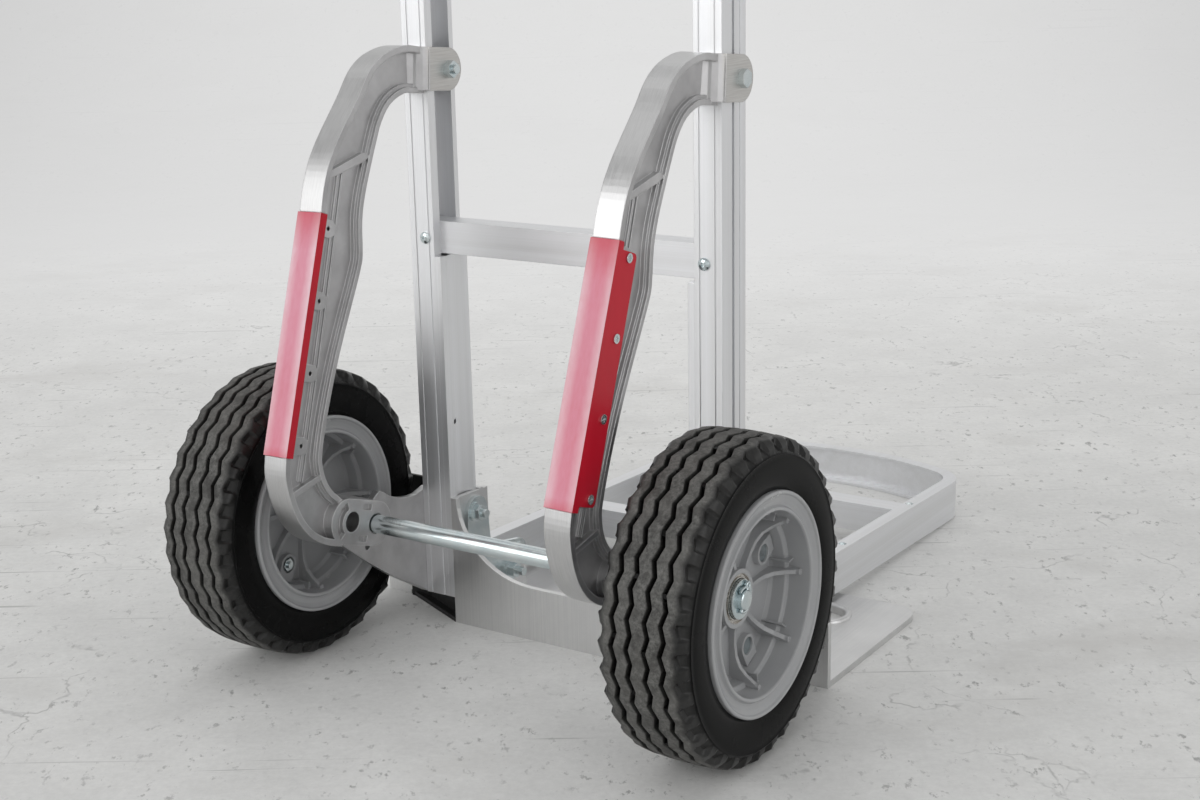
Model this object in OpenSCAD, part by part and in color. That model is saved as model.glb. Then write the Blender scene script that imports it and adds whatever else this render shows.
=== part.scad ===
// Two-wheel aluminium hand truck with a folding nose extension.
// X runs across the truck (+X is the operator's right), +Y points to the load, +Z is up.
// Sections are drawn from the rear face of the rails (y = 0) and moved as one to the final origin.

/* [Rails] */
// Width of one rail, across the truck
rail_w = 25.4; // [20:0.1:32]
// Depth of one rail, front to back
rail_d = 38.1; // [34:0.1:45]
// Clear distance between the two rails
rail_gap = 263; // [230:1:300]
// Height of the rails' lower ends above the floor
rail_foot_z = 24.5; // [20:0.5:30]
// Height of the rails' upper ends
rail_top_z = 1145; // [1120:1:1250]
// Thickness of the stiffener bar on each rail's inner side
insert_t = 6.2; // [4:0.1:8]
// Height of the stiffener bars' upper ends
insert_top_z = 341; // [300:1:342]

/* [Crossbars] */
// Height of each crossbar's centre line
crossbar_z = [357.2, 690, 1000];
// Height of the crossbar section
crossbar_h = 28.4; // [24:0.1:34]
// Wall thickness of the crossbar section
crossbar_t = 2.6; // [2:0.1:4]

/* [Handle] */
// Outer diameter of the handle tube
handle_d = 23; // [20:0.1:23.2]
// Height of the top of the handle
handle_top_z = 1300; // [1250:1:1400]
// Bend radius of the handle tube, at its centre line
handle_bend_r = 65; // [45:1:90]
// Length of the grip
grip_len = 150; // [100:1:160]

/* [Wheels] */
// Outer diameter of a tyre
tyre_d = 254; // [240:1:270]
// Width of a tyre at its sidewalls
tyre_w = 74; // [68:1:76]
// Distance between the middles of the two wheels
wheel_track = 435; // [430:1:450]
// Outer radius of the rim's lip
rim_r = 86.5; // [86:0.1:88]
// Number of ribs in each side of a rim
rim_ribs = 8; // [4:1:10]
// Number of bolts that hold the two rim halves together
rim_bolts_n = 4; // [3:1:6]

/* [Axle] */
// Axle diameter
axle_d = 15.88; // [15.8:0.01:15.95]
// Distance of the axle behind the rails' rear face
axle_back = 105; // [100:1:112]
// Thickness of the washer outside each wheel
washer_t = 2.7; // [2:0.1:3]

/* [Climber arms] */
// Width of an arm's rear flange
arm_w = 23; // [20:0.5:26]
// Inward lean of the arms, in degrees
arm_lean = 1.3; // [0.4:0.1:1.4]
// Height of the fork bolt
fork_z = 501.5; // [495:0.5:508]
// Radius of the fork ears
ear_r = 18.5; // [17:0.5:20]
// Thickness of each fork ear
ear_t = 4.1; // [3.5:0.1:5]

/* [Nose plate] */
// Overall width of the nose plate
nose_w = 470; // [450:1:480]
// Depth of the base plate in front of the rails
nose_depth = 192; // [180:1:200]
// Thickness of the base plate
base_t = 6; // [5:0.5:7]
// Height of the walls beside the rails
nose_h = 120; // [112:1:122]
// Height of the middle wall at its lowest
nose_low_h = 49.5; // [40:0.5:60]

/* [Nose extension] */
// Width over the extension's arms
ext_w = 312; // [300:1:313]
// Height of the extension's channel section
ext_h = 40; // [36:0.5:42]
// Reach of the extension in front of its pivot
ext_reach = 481; // [440:1:500]
// Downward tilt of the extension when it rests on the floor, in degrees
ext_tilt = 1.7; // [1.5:0.1:2]

/* [Hidden] */
$fn = 64;

// Colours
c_rail = [0.80, 0.81, 0.82];
c_cast = [0.62, 0.62, 0.62];
c_zinc = [0.66, 0.72, 0.74];
c_red = [0.72, 0.06, 0.12];
c_black = [0.07, 0.07, 0.07];
c_rim = [0.58, 0.59, 0.61];
c_tyre = [0.16, 0.16, 0.16];

// Clearances
fit = 0.05;          // radial play of a fixed pin, bolt or tube in its hole
spin_gap = 0.3;      // gap beside a turning part

// Rail section, measured from the inner face and the rear face
rail_in = rail_gap / 2;
rail_out = rail_in + rail_w;
rail_mid = rail_in + rail_w / 2;
rail_back_t = 9.3;   // box along the rear
rail_front_t = 5.5;  // front flange
rail_side_t = 6.4;   // outer wall
rail_skin = 2.5;     // walls of the rear box
channel_x = rail_w - rail_side_t;
channel_y0 = rail_back_t;
channel_y1 = rail_d - rail_front_t;

// Fasteners
m8 = 8;
m8_af = 13;
m8_head_h = 5.3;
m8_nut_h = 6.5;
m8_washer_t = 1.6;
m8_washer_r = 9.2;
m6 = 6;

// Heights and places of the frame's bolts, [y, z]
axle_pos = [-axle_back, tyre_d / 2];
spare_pos = axle_pos + [-29.5, 10];
fork_pos = [24.5, fork_z];
bracket_upper_pos = [26, 101];
bracket_lower_pos = [20, 50];
hinge_lower_pos = [76.5, 29.5];

// Inner layers beside a rail, as distances from the middle plane
insert_in = rail_in - insert_t;
gusset_t = 4;
gusset_in = insert_in - gusset_t;
hinge_t = 4;
hinge_in = gusset_in - hinge_t;

// Wheel bracket
bracket_in = rail_out + 0.1;
bracket_t = 6;
bracket_out = bracket_in + bracket_t;

// Extension, measured from its pivot
ext_up = 11;
ext_down = ext_h - ext_up;
pivot_pos = [90, ext_down * cos(ext_tilt) + ext_reach * sin(ext_tilt)];
ext_wall = 3;
ext_flange = 14;
ext_bow_r = 290;
ext_corner_r = 50;
slat_y = [136, 292];
slat_d = 26;
slat_h = 29;

// Wheels
wheel_x = wheel_track / 2;
tyre_r = tyre_d / 2;
rim_half_w = 39;
hub_r = 23;
hub_half = 12;
bearing_r = 19.4;
bearing_w = 11;
rim_bolt_r = 51;
rim_bolt_a = 24.5;
seat_r = 78;         // radius on which the tyre sits

// Place of the origin: below the middle of the truck's box
y_min = -axle_back - tyre_r;
y_max = pivot_pos.x + ext_reach * cos(ext_tilt) + ext_up * sin(ext_tilt);
module place() translate([0, -(y_min + y_max) / 2, 0]) children();

// ---------- Helpers ----------

module left() mirror([1, 0, 0]) children();
module both() { children(); left() children(); }

// Turns a drawing of [y, z] into a plate between two x planes
module plate(x0, x1) translate([x0, 0, 0]) rotate([90, 0, 90]) linear_extrude(x1 - x0) children();

// A cylinder along X at a [y, z] point
module rod(x0, x1, pos, r) translate([x0, pos.x, pos.y]) rotate([0, 90, 0]) cylinder(r = r, h = x1 - x0);

module hex_rod(x0, x1, pos, af)
    translate([x0, pos.x, pos.y]) rotate([0, 90, 0]) cylinder(r = af / sqrt(3), h = x1 - x0, $fn = 6);

// Hex bolt along X with its head outboard
module bolt_x(head, tip, pos, d = m8, af = m8_af, h = m8_head_h) {
    rod(tip, head, pos, d / 2);
    hex_rod(head, head + h, pos, af);
}

// Hex nut along X whose outboard face lies at x = face, and the same nut on a washer
module nut_x(face, pos) difference() {
    hex_rod(face - m8_nut_h, face, pos, m8_af);
    rod(face - m8_nut_h - 1, face + 1, pos, m8 / 2 + fit);
}
module washered_nut_x(face, pos) {
    nut_x(face - m8_washer_t, pos);
    difference() {
        rod(face - m8_washer_t, face, pos, m8_washer_r);
        rod(face - m8_washer_t - 1, face + 1, pos, m8 / 2 + fit);
    }
}

// Points of an arc, and a smooth curve through the given points
function arc(c, r, a0, a1, n) = [for (i = [0:n]) let (a = a0 + (a1 - a0) * i / n) c + r * [cos(a), sin(a)]];
function blend(a, b, c, d, t) =
    0.5 * (2 * b + (c - a) * t + (2 * a - 5 * b + 4 * c - d) * t * t + (3 * b - a - 3 * c + d) * t * t * t);
function smooth(p, n) = let (m = len(p) - 1) concat(
    [for (i = [0:m - 1], k = [0:n - 1])
        blend(p[max(i - 1, 0)], p[i], p[i + 1], p[min(i + 2, m)], k / n)],
    [p[m]]);
function side_of(p, i) = let (m = len(p) - 1, t = p[min(i + 1, m)] - p[max(i - 1, 0)]) [-t.y, t.x] / norm(t);
function shifted(p, d) = [for (i = [0:len(p) - 1]) p[i] + d * side_of(p, i)];
function backwards(p) = [for (i = [len(p) - 1:-1:0]) p[i]];
module band(p, d) polygon(concat(p, backwards(shifted(p, d))));

// ---------- Rails ----------

module rail_section() difference() {
    square([rail_w, rail_d]);
    // channel that opens to the inside
    translate([-1, channel_y0]) square([channel_x + 1, channel_y1 - channel_y0]);
    // hollow rear box
    translate([rail_skin, rail_skin]) square([rail_w - 2 * rail_skin, rail_back_t - 2 * rail_skin]);
    // slot along the outer side, and a shallow line in front of it
    translate([rail_w - 3.5, 16]) square([4, 4]);
    translate([rail_w - 0.7, 28]) square([1, 1.2]);
    // two shallow lines on the rear
    for (x = [5.1, 19.2]) translate([x - 0.6, -1]) square([1.2, 1.7]);
}

module rail() color(c_rail) difference() {
    translate([rail_in, 0, rail_foot_z]) linear_extrude(rail_top_z - rail_foot_z) rail_section();
    for (pos = [fork_pos, bracket_upper_pos, bracket_lower_pos])
        rod(rail_in - 1, rail_out + 1, pos, m8 / 2 + fit);
    for (z = crossbar_z) screw_hole(crossbar_screw_x, z);
    for (z = handle_screw_z) screw_hole(handle_x, z);
}

module screw_hole(x, z)
    translate([x, -1, z]) rotate([-90, 0, 0]) cylinder(r = m6 / 2 + fit, h = rail_back_t + 5);

module rail_left() left() rail();
module rail_right() rail();

// Stiffener bar with a shallow hollow along its inner face
insert_hollow = [12.5, 2.2];
module rail_insert() color(c_rail) difference() {
    hollow_r = (pow(insert_hollow.x, 2) + pow(insert_hollow.y, 2)) / (2 * insert_hollow.y);
    translate([insert_in, 0, rail_foot_z]) linear_extrude(insert_top_z - rail_foot_z) difference() {
        square([insert_t, rail_d]);
        translate([insert_hollow.y - hollow_r, 21.5]) circle(r = hollow_r, $fn = 180);
    }
    rod(insert_in - 1, rail_in + 1, [12.3, 189], 2.5);
    for (pos = [bracket_upper_pos, bracket_lower_pos]) rod(insert_in - 1, rail_in + 1, pos, m8 / 2 + fit);
}

module rail_insert_left() left() rail_insert();
module rail_insert_right() rail_insert();

// ---------- Crossbars ----------

crossbar_end = rail_in + channel_x - 1;
crossbar_screw_x = rail_in + 9.2;

module crossbar(z) color(c_rail) difference() {
    translate([-crossbar_end, 0, z - crossbar_h / 2]) rotate([90, 0, 90]) linear_extrude(2 * crossbar_end)
        difference() {
            translate([channel_y0, 0]) square([channel_y1 - channel_y0, crossbar_h]);
            translate([channel_y0 + crossbar_t, crossbar_t])
                square([channel_y1 - channel_y0, crossbar_h - 2 * crossbar_t]);
        }
    both() screw_hole(crossbar_screw_x, z);
}

module crossbar_lower() crossbar(crossbar_z[0]);
module crossbar_middle() crossbar(crossbar_z[1]);
module crossbar_upper() crossbar(crossbar_z[2]);

// Button-head screw that points forward
module button_screw(x, z, len) translate([x, 0, z]) rotate([-90, 0, 0]) {
    cylinder(r = m6 / 2, h = len);
    difference() {
        intersection() {
            translate([0, 0, 5.2]) sphere(r = 8.2);
            translate([0, 0, -5]) cylinder(r = 5.2, h = 5);
        }
        translate([0, 0, -5]) cylinder(r = 2, h = 3.4, $fn = 6);
    }
}

module crossbar_screws() color(c_zinc)
    for (z = crossbar_z) both() button_screw(crossbar_screw_x, z, rail_back_t + crossbar_t + 3);

// ---------- Handle ----------

handle_x = rail_in + channel_x - handle_d / 2 - fit;
handle_y = (channel_y0 + channel_y1) / 2;
handle_foot_z = rail_top_z - 90;
handle_screw_z = [rail_top_z - 70, rail_top_z - 20];
handle_bar_z = handle_top_z - handle_d / 2;
handle_wall = 2.5;

module handle_path(r, over = 0) {
    for (s = [-1, 1]) translate([s * handle_x, handle_y, handle_foot_z - over])
        cylinder(r = r, h = handle_bar_z - handle_bend_r - handle_foot_z + over);
    translate([-handle_x + handle_bend_r, handle_y, handle_bar_z]) rotate([0, 90, 0])
        cylinder(r = r, h = 2 * (handle_x - handle_bend_r));
    both() translate([handle_x - handle_bend_r, handle_y, handle_bar_z - handle_bend_r])
        rotate([90, 0, 0]) rotate_extrude(angle = 90) translate([handle_bend_r, 0]) circle(r = r);
}

module handle_loop() color(c_rail) difference() {
    handle_path(handle_d / 2);
    handle_path(handle_d / 2 - handle_wall, 1);
    both() for (z = handle_screw_z)
        translate([handle_x, 0, z]) rotate([-90, 0, 0]) cylinder(r = m6 / 2 + fit, h = handle_y);
}

module handle_grip() color(c_black) translate([-grip_len / 2, handle_y, handle_bar_z]) rotate([0, 90, 0])
    difference() {
        union() {
            cylinder(r = 15.5, h = grip_len);
            for (z = [0, grip_len - 5]) translate([0, 0, z]) cylinder(r = 17.5, h = 5);
        }
        translate([0, 0, -1]) cylinder(r = handle_d / 2 + fit, h = grip_len + 2);
        // finger lines
        for (i = [1:7]) translate([0, 0, i * grip_len / 8]) rotate_extrude()
            translate([16.3, 0]) circle(r = 1.6, $fn = 16);
    }

module handle_screws() color(c_zinc)
    for (z = handle_screw_z) both() button_screw(handle_x, z, handle_y - 2);

// ---------- Climber arms ----------

flange_t = 5.5;
lip_t = 4.5;
lip_w = 18;
web_t = 5;
rebate = 1.5;
strip_rear = [[-144, 400], [-207, 211]];   // ends of the straight stretch under the wear strip
strip_dir = (strip_rear[0] - strip_rear[1]) / norm(strip_rear[0] - strip_rear[1]);
strip_len = norm(strip_rear[0] - strip_rear[1]);
strip_tilt = atan2(-strip_dir.x, strip_dir.y);

// rear outline, from the fork round the shoulder, straight under the strip, and round the lower end
arm_shoulder = smooth([[3, 520.5], [-8, 522.5], [-22, 524.3], [-39, 522.5], [-58, 516.5], [-74, 505.5],
    [-90, 486], [-117, 456], [-131, 436], [-139, 418], strip_rear[0]], 4);
arm_heel = smooth([strip_rear[1], [-209.3, 196], [-207, 179], [-202.5, 164], [-195, 149.5], [-183, 136],
    [-167, 126], [-150, 119.5]], 4);
arm_rear = concat(arm_shoulder, arm_heel);
arm_front = smooth([[0, 482.5], [-14, 484], [-28, 484.5], [-46, 477.5], [-59, 464], [-68, 447], [-76, 430],
    [-86, 407], [-92, 386], [-94.5, 358], [-98, 347], [-106, 331], [-132, 281], [-151, 237], [-161.5, 206],
    [-163, 194], [-160.5, 181], [-154, 169.5], [-144, 160], [-133, 149]], 3);

// Places along the wear strip: u in front of the strip's rear line, w above its lower end
function strip_point(u, w) = strip_rear[1] + w * strip_dir + u * [strip_dir.y, -strip_dir.x];
strip_screw_at = [for (i = [0:3]) let (w = 11 + i * 59.2) strip_point(19.8 - w / 41, w)];
ridge_line = [for (p = [[20.3, 236], [22.6, 166], [24.2, 80], [25.4, -18]]) strip_point(p.x, p.y)];
ridge_t = 1.9;
ridge_gap = 5.2;
boss_r = 7.4;
side_rebate = 1;     // recess of the flange's sides under the strip

// The arm's plane leans inward below the fork bolt
module lean() translate([rail_mid, 0, fork_z]) rotate([0, arm_lean, 0]) translate([0, 0, -fork_z]) children();
boss_in = rail_in - 7.3;
end_r = 19.5;
spare_r = 8.8;

end_reach = 7;       // of the arm's end beyond the spare hole
module arm_end_outline() {
    d = spare_pos - axle_pos;
    len = norm(d) + end_reach;
    translate(axle_pos) rotate(atan2(d.y, d.x)) {
        for (x = [0, len]) translate([x, 0]) circle(r = end_r);
        translate([0, -end_r]) square([len, 2 * end_r]);
    }
}

module arm_body() lean() {
    plate(-web_t / 2, web_t / 2) polygon(concat(arm_rear, backwards(arm_front)));
    plate(-arm_w / 2, arm_w / 2) band(arm_rear, flange_t);
    plate(-lip_w / 2, lip_w / 2) band(arm_front, -lip_t);
    plate(-lip_w / 3, lip_w / 3) band(arm_front, -lip_t - 3);
    // diagonal ribs near the top and the bottom, and the long double ridge between them
    plate(-8, 8) polygon([[-132.5, 429], [-84, 441], [-75, 437.5], [-84, 433.5], [-132.5, 423.5]]);
    plate(-8, 8) polygon([[-203, 178.5], [-164, 186.5], [-164, 181.5], [-203, 173.5]]);
    for (d = [0, ridge_gap]) plate(-4.6, 4.6) band(shifted(ridge_line, d), ridge_t);
    // screw bosses that run into the flange
    for (pos = strip_screw_at) plate(-8, arm_w / 2) translate(pos) rotate(strip_tilt) {
        translate([1.5, 0]) circle(r = boss_r);
        translate([-15, -boss_r]) square([16.5, 2 * boss_r]);
    }
}

ear_tilt = 4.6;      // the ears point slightly down to the front
neck = [[2, 3], [-1, 1.4], [-5, -1.2], [-8.5, -5.5], [-9.5, -8], [-14, -11.5], [-19, -13.4], [-27, -14.3]];
module fork() translate([rail_mid, fork_pos.x, fork_z]) rotate([-ear_tilt, 0, 0]) {
    half = rail_w / 2 + ear_t;
    for (x = [-half, rail_w / 2]) plate(x, x + ear_t) {
        circle(r = ear_r);
        translate([-fork_pos.x - 1, -ear_r]) square([fork_pos.x + 1, 2 * ear_r]);
    }
    translate([0, -fork_pos.x, -ear_r]) linear_extrude(2 * ear_r) polygon(concat(
        [for (p = neck) [half + p.y - 3, p.x]],
        [for (p = backwards(neck)) [-half - p.y + 3, p.x]]));
}

module climber_arm() color(c_cast) difference() {
    union() {
        arm_body();
        fork();
        plate(boss_in, bracket_in) arm_end_outline();
    }
    // room for the rail
    translate([rail_in, 0, fork_z - 40]) cube([rail_w, 2 * rail_d, 80]);
    // the wear strip's seat
    lean() translate([0, strip_rear[1].x, strip_rear[1].y]) rotate([strip_tilt, 0, 0])
    {
        translate([-arm_w, -20 + rebate, 0]) cube([2 * arm_w, 20, strip_len]);
        for (x = [-arm_w - arm_w / 2 + side_rebate, arm_w / 2 - side_rebate])
            translate([x, -20, 0]) cube([arm_w, 55, strip_len]);
    }
    lean() for (pos = strip_screw_at) rod(-arm_w, arm_w, pos, 1.9);
    rod(rail_in - ear_t - 1, rail_out + ear_t + 1, fork_pos, m8 / 2 + fit);
    rod(boss_in - 1, bracket_in + 1, axle_pos, axle_d / 2 + fit);
    rod(boss_in - 1, boss_in + 3, axle_pos, axle_d / 2 + 1.3);
    rod(boss_in - 1, bracket_in + 1, spare_pos, spare_r);
    // shallow pockets in the end's inner face
    translate([boss_in - 1, spare_pos.x, spare_pos.y]) rotate([0, 90, 0]) rotate([0, 0, 195])
        rotate_extrude(angle = 110) translate([12.5, 0]) square([7, 5]);
    mid = (axle_pos + spare_pos) / 2;
    for (s = [-1, 1]) translate([boss_in - 1, mid.x, mid.y]) rotate([-18.4, 0, 0])
        translate([0, -4.5, s * 13.5 - 2.6]) cube([4.5, 11, 5.2]);
}

module climber_arm_left() left() climber_arm();
module climber_arm_right() climber_arm();

module arm_bolts() color(c_zinc) both() bolt_x(rail_out + ear_t, rail_in - ear_t - 10, fork_pos);
module arm_nuts() color(c_zinc) both() nut_x(rail_in - ear_t, fork_pos);

// Red channel over the rear flange, with a screwed tab on the outer side
strip_t = 2;
strip_proud = 1;
strip_back_t = strip_proud + rebate;
strip_half = arm_w / 2 - side_rebate + strip_t;

module wear_strip() color(c_red) lean() difference() {
    translate([0, strip_rear[1].x, strip_rear[1].y]) rotate([strip_tilt, 0, 0]) {
        translate([-strip_half, -strip_proud, 0.2]) cube([2 * strip_half, strip_back_t, strip_len - 0.4]);
        translate([-strip_half, -strip_proud, 0.2]) cube([strip_t, 8, strip_len - 0.4]);
        plate(strip_half - strip_t, strip_half) tab_outline();
    }
    for (pos = strip_screw_at) rod(strip_half - strip_t - 1, strip_half + 1, pos, 2.2);
}

tab_r = 4;
module tab_outline() polygon(concat(
    [[-strip_proud, 0.2], [7, 0.2], [7.5, 5]],
    arc([28.4 - tab_r, 5 + tab_r], tab_r, -90, 0, 5),
    arc([26.3 - tab_r, strip_len - 6 - tab_r], tab_r, 0, 90, 5),
    [[6.5, strip_len - 6], [6, strip_len - 0.2], [-strip_proud, strip_len - 0.2]]));

module wear_strip_left() left() wear_strip();
module wear_strip_right() wear_strip();

module wear_strip_screws() color(c_zinc) lean() for (pos = strip_screw_at) {
    rod(strip_half - 10, strip_half, pos, 1.9 - fit);
    difference() {
        rod(strip_half, strip_half + 1.4, pos, 3.7);
        for (a = [0, 90]) translate([strip_half + 1, pos.x, pos.y]) rotate([a, 0, 0])
            translate([-0.5, -2.2, -0.5]) cube([2, 4.4, 1]);
    }
}

module wear_strip_screws_left() left() wear_strip_screws();
module wear_strip_screws_right() wear_strip_screws();

// ---------- Wheel brackets ----------

bracket_r = 19;
bracket_outline = concat(
    arc(axle_pos, bracket_r, 225, 45, 12),
    smooth([[-84, 131.5], [-71, 132.5], [-60, 138.5], [-49, 131.5], [-38, 126.5], [-25, 122.8], [-10, 121.5],
        [4, 125]], 2),
    [[rail_d - 2, 125], [rail_d - 2, rail_foot_z + 0.1], [3, rail_foot_z + 0.1]],
    smooth([[-1, 25.5], [-48.5, 55], [-84, 81], [-113, 104]], 3));

module wheel_bracket() color(c_cast) difference() {
    union() {
        plate(bracket_in, bracket_out) polygon(bracket_outline);
        // boss round the axle
        rod(bracket_out - 1, bracket_out + 4, axle_pos, 18);
    }
    rod(bracket_in - 1, bracket_out + 5, axle_pos, axle_d / 2 + fit);
    for (pos = [bracket_upper_pos, bracket_lower_pos])
        rod(bracket_in - 1, bracket_out + 1, pos, m8 / 2 + fit);
    rod(bracket_in - 1, bracket_out + 1, [-64, 105], 11);
    rod(bracket_in - 1, bracket_out + 1, [-80, 93], 3.5);
}

module wheel_bracket_left() left() wheel_bracket();
module wheel_bracket_right() wheel_bracket();

module bracket_bolts() color(c_zinc) both()
    for (pos = [bracket_upper_pos, bracket_lower_pos]) bolt_x(bracket_out, hinge_in - 13, pos);
module bracket_nuts() color(c_zinc) both()
    for (pos = [bracket_upper_pos, bracket_lower_pos]) washered_nut_x(hinge_in, pos);

// ---------- Nose plate ----------

wall_t = 5;
front_wall_y = rail_d;
base_front = front_wall_y + nose_depth;
corner_r = 22;
// middle wall: level, then a quarter of an ellipse up to the rail
wall_flat = 38;
wall_rise = [gusset_in - wall_flat - 2, nose_h - nose_low_h];
function wall_curve(n) = [for (i = [0:n]) let (a = 90 * i / n)
    [wall_flat + wall_rise.x * sin(a), nose_low_h + wall_rise.y * (1 - cos(a))]];
// outer wall: level in front of the wheel, then down to the nose's outer corner
outer_flat = rail_out + 48;
outer_drop = 58;
function outer_curve(n) = [for (i = [0:n]) let (a = 90 * i / n)
    [outer_flat + (nose_w / 2 - outer_flat - 6) * (1 - cos(a)), nose_h - outer_drop * sin(a)]];

module wall_outline() polygon(concat(
    [[insert_in, 0], [insert_in, nose_h]],
    backwards(wall_curve(12)),
    [for (p = wall_curve(12)) [-p.x, p.y]],
    [[-insert_in, nose_h], [-insert_in, 0]]));

module outer_wall_outline() polygon(concat(
    [[gusset_in, 0], [gusset_in, nose_h]],
    outer_curve(10),
    arc([nose_w / 2 - 6, nose_h - outer_drop - 6], 6, 90, 0, 4),
    [[nose_w / 2, 0]]));

gusset_outline = concat(
    [[0, 0], [0, nose_h], [50, nose_h - 1.5]],
    smooth([[50.5, 74], [53, 60], [59, 50], [68, 42.5], [78, 37], [90, 34.5], [102, 33]], 3),
    [[108, base_t - 1], [108, 0]]);

module base_outline() {
    polygon(concat(
        [[-insert_in, 0], [insert_in, 0], [insert_in, front_wall_y], [nose_w / 2, front_wall_y]],
        arc([nose_w / 2 - corner_r, base_front - corner_r], corner_r, 0, 90, 8),
        arc([-nose_w / 2 + corner_r, base_front - corner_r], corner_r, 90, 180, 8),
        [[-nose_w / 2, front_wall_y], [-insert_in, front_wall_y]]));
}

// Obround holes with raised, rounded rims
hole_x = [-137, 0, 137];
hole_y = 175;
hole_r = 19;
hole_half = 27;
rim_bead = 3.2;
module obround(r, z0, h) translate([0, hole_y, z0]) {
    for (s = [-1, 1]) translate([s * hole_half, 0, 0]) cylinder(r = r, h = h);
    translate([-hole_half, -r, 0]) cube([2 * hole_half, 2 * r, h]);
}
module hole_bead() translate([0, hole_y, base_t]) {
    for (s = [-1, 1]) translate([s * hole_half, 0, 0]) rotate([0, 0, s * -90])
        rotate_extrude(angle = 180) translate([hole_r + rim_bead, 0]) circle(r = rim_bead, $fn = 32);
    for (s = [-1, 1]) translate([-hole_half, s * (hole_r + rim_bead), 0]) rotate([0, 90, 0])
        cylinder(r = rim_bead, h = 2 * hole_half, $fn = 32);
}

module nose_plate() color(c_cast) difference() {
    union() {
        rotate([90, 0, 0]) translate([0, 0, -wall_t]) linear_extrude(wall_t) wall_outline();
        both() {
            plate(gusset_in, insert_in) polygon(gusset_outline);
            translate([0, front_wall_y + wall_t, 0]) rotate([90, 0, 0])
                linear_extrude(wall_t) outer_wall_outline();
        }
        difference() {
            union() {
                linear_extrude(base_t) base_outline();
                for (x = hole_x) translate([x, 0, 0]) hole_bead();
            }
            for (x = hole_x) translate([x, 0, 0]) obround(hole_r, -1, base_t + 6);
        }
    }
    both() {
        for (pos = [bracket_upper_pos, bracket_lower_pos, hinge_lower_pos])
            rod(gusset_in - 1, insert_in + 1, pos, m8 / 2 + fit);
    }
}

// Black wedge under each rail, with a guard that stands behind the outer wall
foot_step = 4;
guard_t = 3;
guard_gap = 2;       // beside the wheel bracket
module rail_foot() color(c_black) {
    linear_extrude(foot_step)
        polygon([[insert_in, 0], [insert_in + 83, front_wall_y], [insert_in, front_wall_y]]);
    translate([0, 0, foot_step]) linear_extrude(rail_foot_z - foot_step)
        polygon([[insert_in, 8], [insert_in + 62, front_wall_y], [insert_in, front_wall_y]]);
    translate([bracket_out + guard_gap, front_wall_y - guard_t, 0])
        cube([outer_flat - bracket_out - guard_gap, guard_t, nose_h + 2]);
}

module rail_foot_left() left() rail_foot();
module rail_foot_right() rail_foot();

// ---------- Axle ----------

hub_out = wheel_x + hub_half;
hub_in = wheel_x - hub_half;
washer_r = 15.4;
cotter_r = 1.4;
cotter_play = 0.3;   // between washer and split pin
axle_tip = 2.6;      // axle beyond the middle of the split pin
cotter_x = hub_out + spin_gap + washer_t + cotter_play + cotter_r;
axle_half = cotter_x + axle_tip;

module axle() color(c_zinc) difference() {
    rod(-axle_half, axle_half, axle_pos, axle_d / 2);
    both() cotter_place() translate([0, 0, -axle_d]) cylinder(r = cotter_r + fit, h = 2 * axle_d);
    // bevelled tips
    both() translate([axle_half, axle_pos.x, axle_pos.y]) rotate([0, 90, 0]) rotate_extrude()
        translate([axle_d / 2, 0]) polygon([[1, -0.8], [1, 1], [-0.8, 1], [-0.8, 0], [0, -0.8]]);
}

module tube_x(x0, x1, r0, r1) difference() {
    rod(x0, x1, axle_pos, r1);
    rod(x0 - 1, x1 + 1, axle_pos, r0);
}

module axle_spacer() color(c_zinc) tube_x(bracket_out + 4, hub_in - spin_gap, axle_d / 2 + fit, 12.7);
module axle_spacer_left() left() axle_spacer();
module axle_spacer_right() axle_spacer();

module axle_washers() color(c_zinc) both()
    tube_x(hub_out + spin_gap, hub_out + spin_gap + washer_t, axle_d / 2 + fit, washer_r);

// Split pin: an eye, a shank through the axle and two legs curled round it
module cotter_place() translate([cotter_x, axle_pos.x, axle_pos.y]) rotate([-30, 0, 0]) children();

module cotter_pins() color(c_zinc) both() cotter_place() {
    curl_r = axle_d / 2 + 1.7;
    translate([0, 0, -curl_r]) cylinder(r = cotter_r, h = 2 * curl_r);
    translate([0, 0, curl_r + 2]) rotate([0, 90, 0]) rotate_extrude()
        translate([2.2, 0]) circle(r = 1.2, $fn = 16);
    for (a = [0, 180]) rotate([a, 0, 0]) rotate([0, 90, 0])
        rotate_extrude(angle = 70) translate([curl_r, 0]) circle(r = 1.1, $fn = 16);
}

// ---------- Hinge of the extension ----------

module hinge_outline() {
    hull() {
        translate([29, 100]) circle(r = 15);
        translate([31, 48]) circle(r = 18);
    }
    hull() {
        translate([31, 48]) circle(r = 18);
        translate(hinge_lower_pos) circle(r = 12.5);
        translate(pivot_pos) circle(r = 12.5);
    }
}

module hinge_plate() color(c_zinc) difference() {
    plate(hinge_in, gusset_in) hinge_outline();
    for (pos = [bracket_upper_pos, bracket_lower_pos, hinge_lower_pos, pivot_pos])
        rod(hinge_in - 1, gusset_in + 1, pos, m8 / 2 + fit);
}

module hinge_plate_left() left() hinge_plate();
module hinge_plate_right() hinge_plate();

module hinge_bolts() color(c_zinc) both() bolt_x(insert_in, hinge_in - 16, hinge_lower_pos);
module hinge_nuts() color(c_zinc) both() washered_nut_x(hinge_in, hinge_lower_pos);

ext_half = ext_w / 2;
module pivot_bolts() color(c_zinc) both() bolt_x(ext_half + spin_gap, hinge_in - 11, pivot_pos);
module pivot_nuts() color(c_zinc) both() washered_nut_x(hinge_in, pivot_pos);
module pivot_spacers() color(c_zinc) both() difference() {
    rod(gusset_in, ext_half - ext_wall - spin_gap, pivot_pos, 7);
    rod(gusset_in - 1, ext_half, pivot_pos, m8 / 2 + fit);
}

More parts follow.
